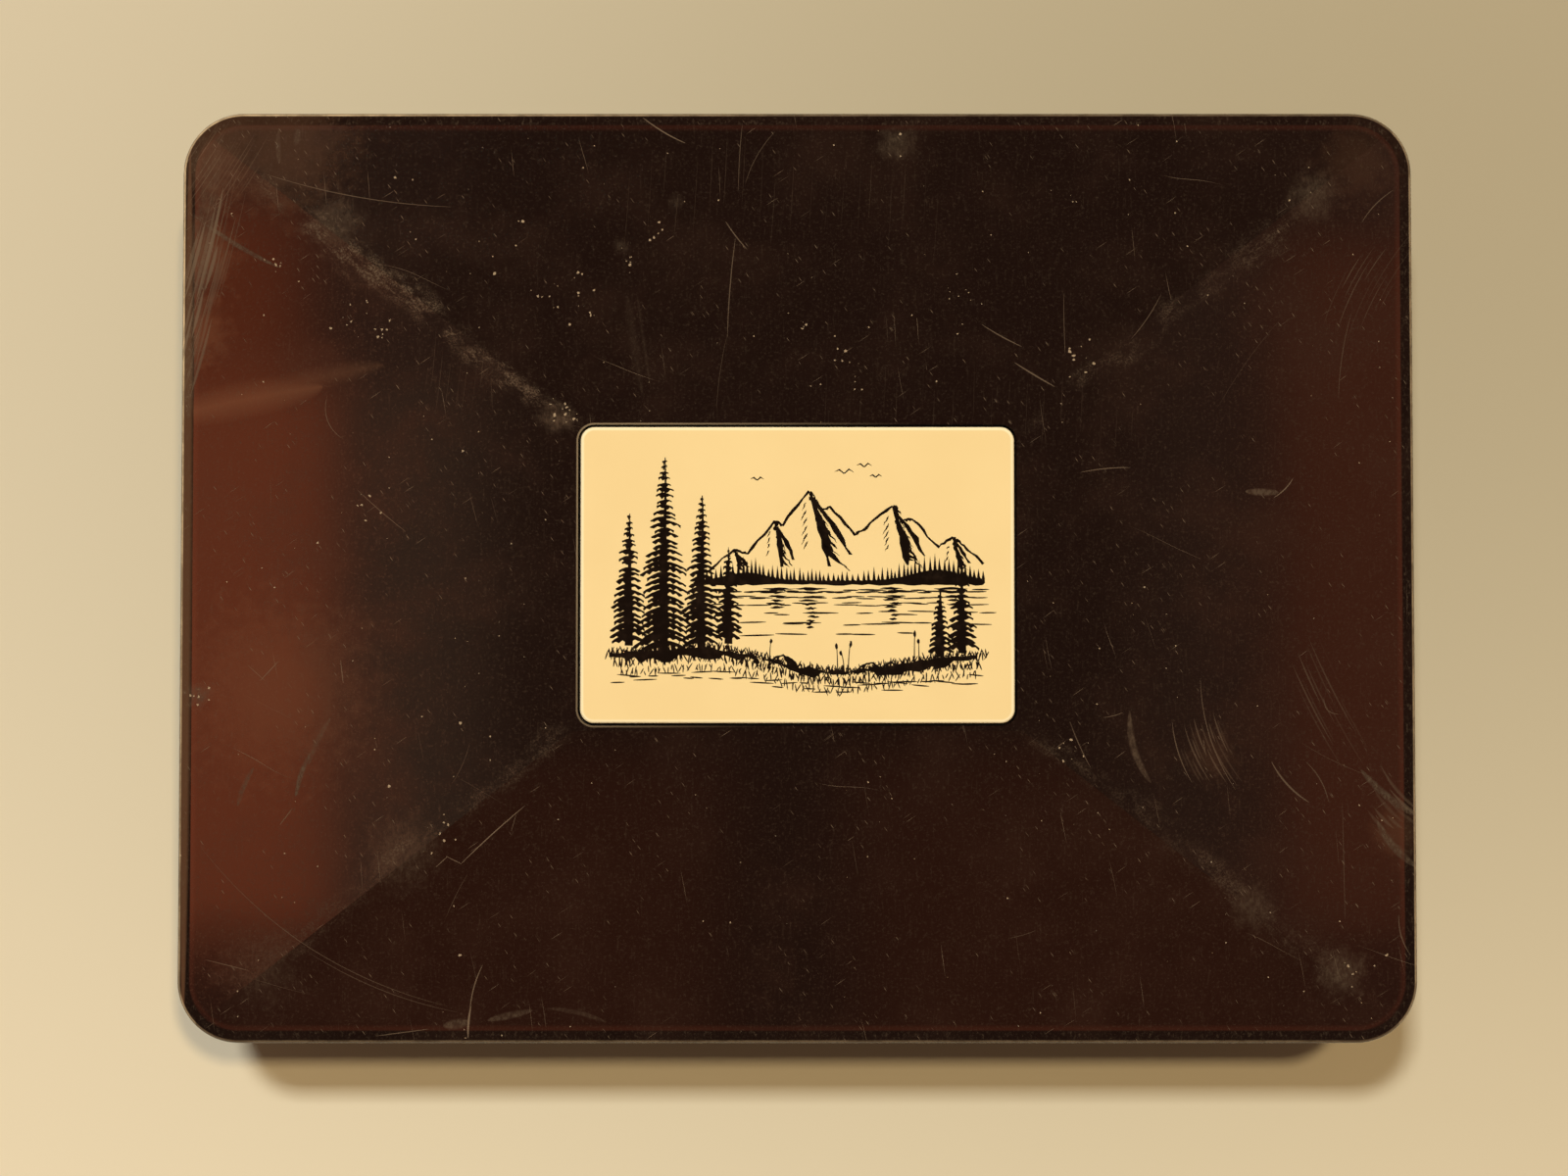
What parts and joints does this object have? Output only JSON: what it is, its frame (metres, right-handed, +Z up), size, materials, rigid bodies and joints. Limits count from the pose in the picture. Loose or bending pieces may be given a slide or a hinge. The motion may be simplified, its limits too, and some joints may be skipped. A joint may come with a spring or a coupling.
{
  "type": "playing card case",
  "caption": "Low rectangular hinged box for playing cards, with rounded corners, a shallow hipped lid and an inlaid plaque, over felt-lined wells with a divider.",
  "frame": {"origin": "middle of the outline, on the face the case stands on, with the lid closed", "axes": "+X to the right along the long side, +Y from the front to the hinge at the rear, +Z up"},
  "size_m": [0.13, 0.098, 0.0238],
  "materials": {
    "case_plastic": "glossy dark oxblood brown, rubbed and scratched",
    "plaque_plastic": "smooth warm ivory",
    "plaque_ink": "brown-black print on the plaque's face",
    "adhesive_film": "dull amber film",
    "felt": "short dark green felt",
    "hinge_steel": "bright drawn wire"
  },
  "bodies": {
    "base": {"base_tray": "case_plastic", "well_divider": "case_plastic", "left_well_liner": "felt", "right_well_liner": "felt", "left_hinge_pin": "hinge_steel", "right_hinge_pin": "hinge_steel"},
    "lid": {"lid_shell": "case_plastic", "lid_plaque": "plaque_plastic", "plaque_adhesive": "adhesive_film"}
  },
  "joints": [
    {"name": "lid_hinge", "type": "hinge", "parent": "base", "child": "lid", "pos_m": [0, 0.0474, 0.0132], "axis": [-1, 0, 0], "range_deg": [0, 110]}
  ]
}
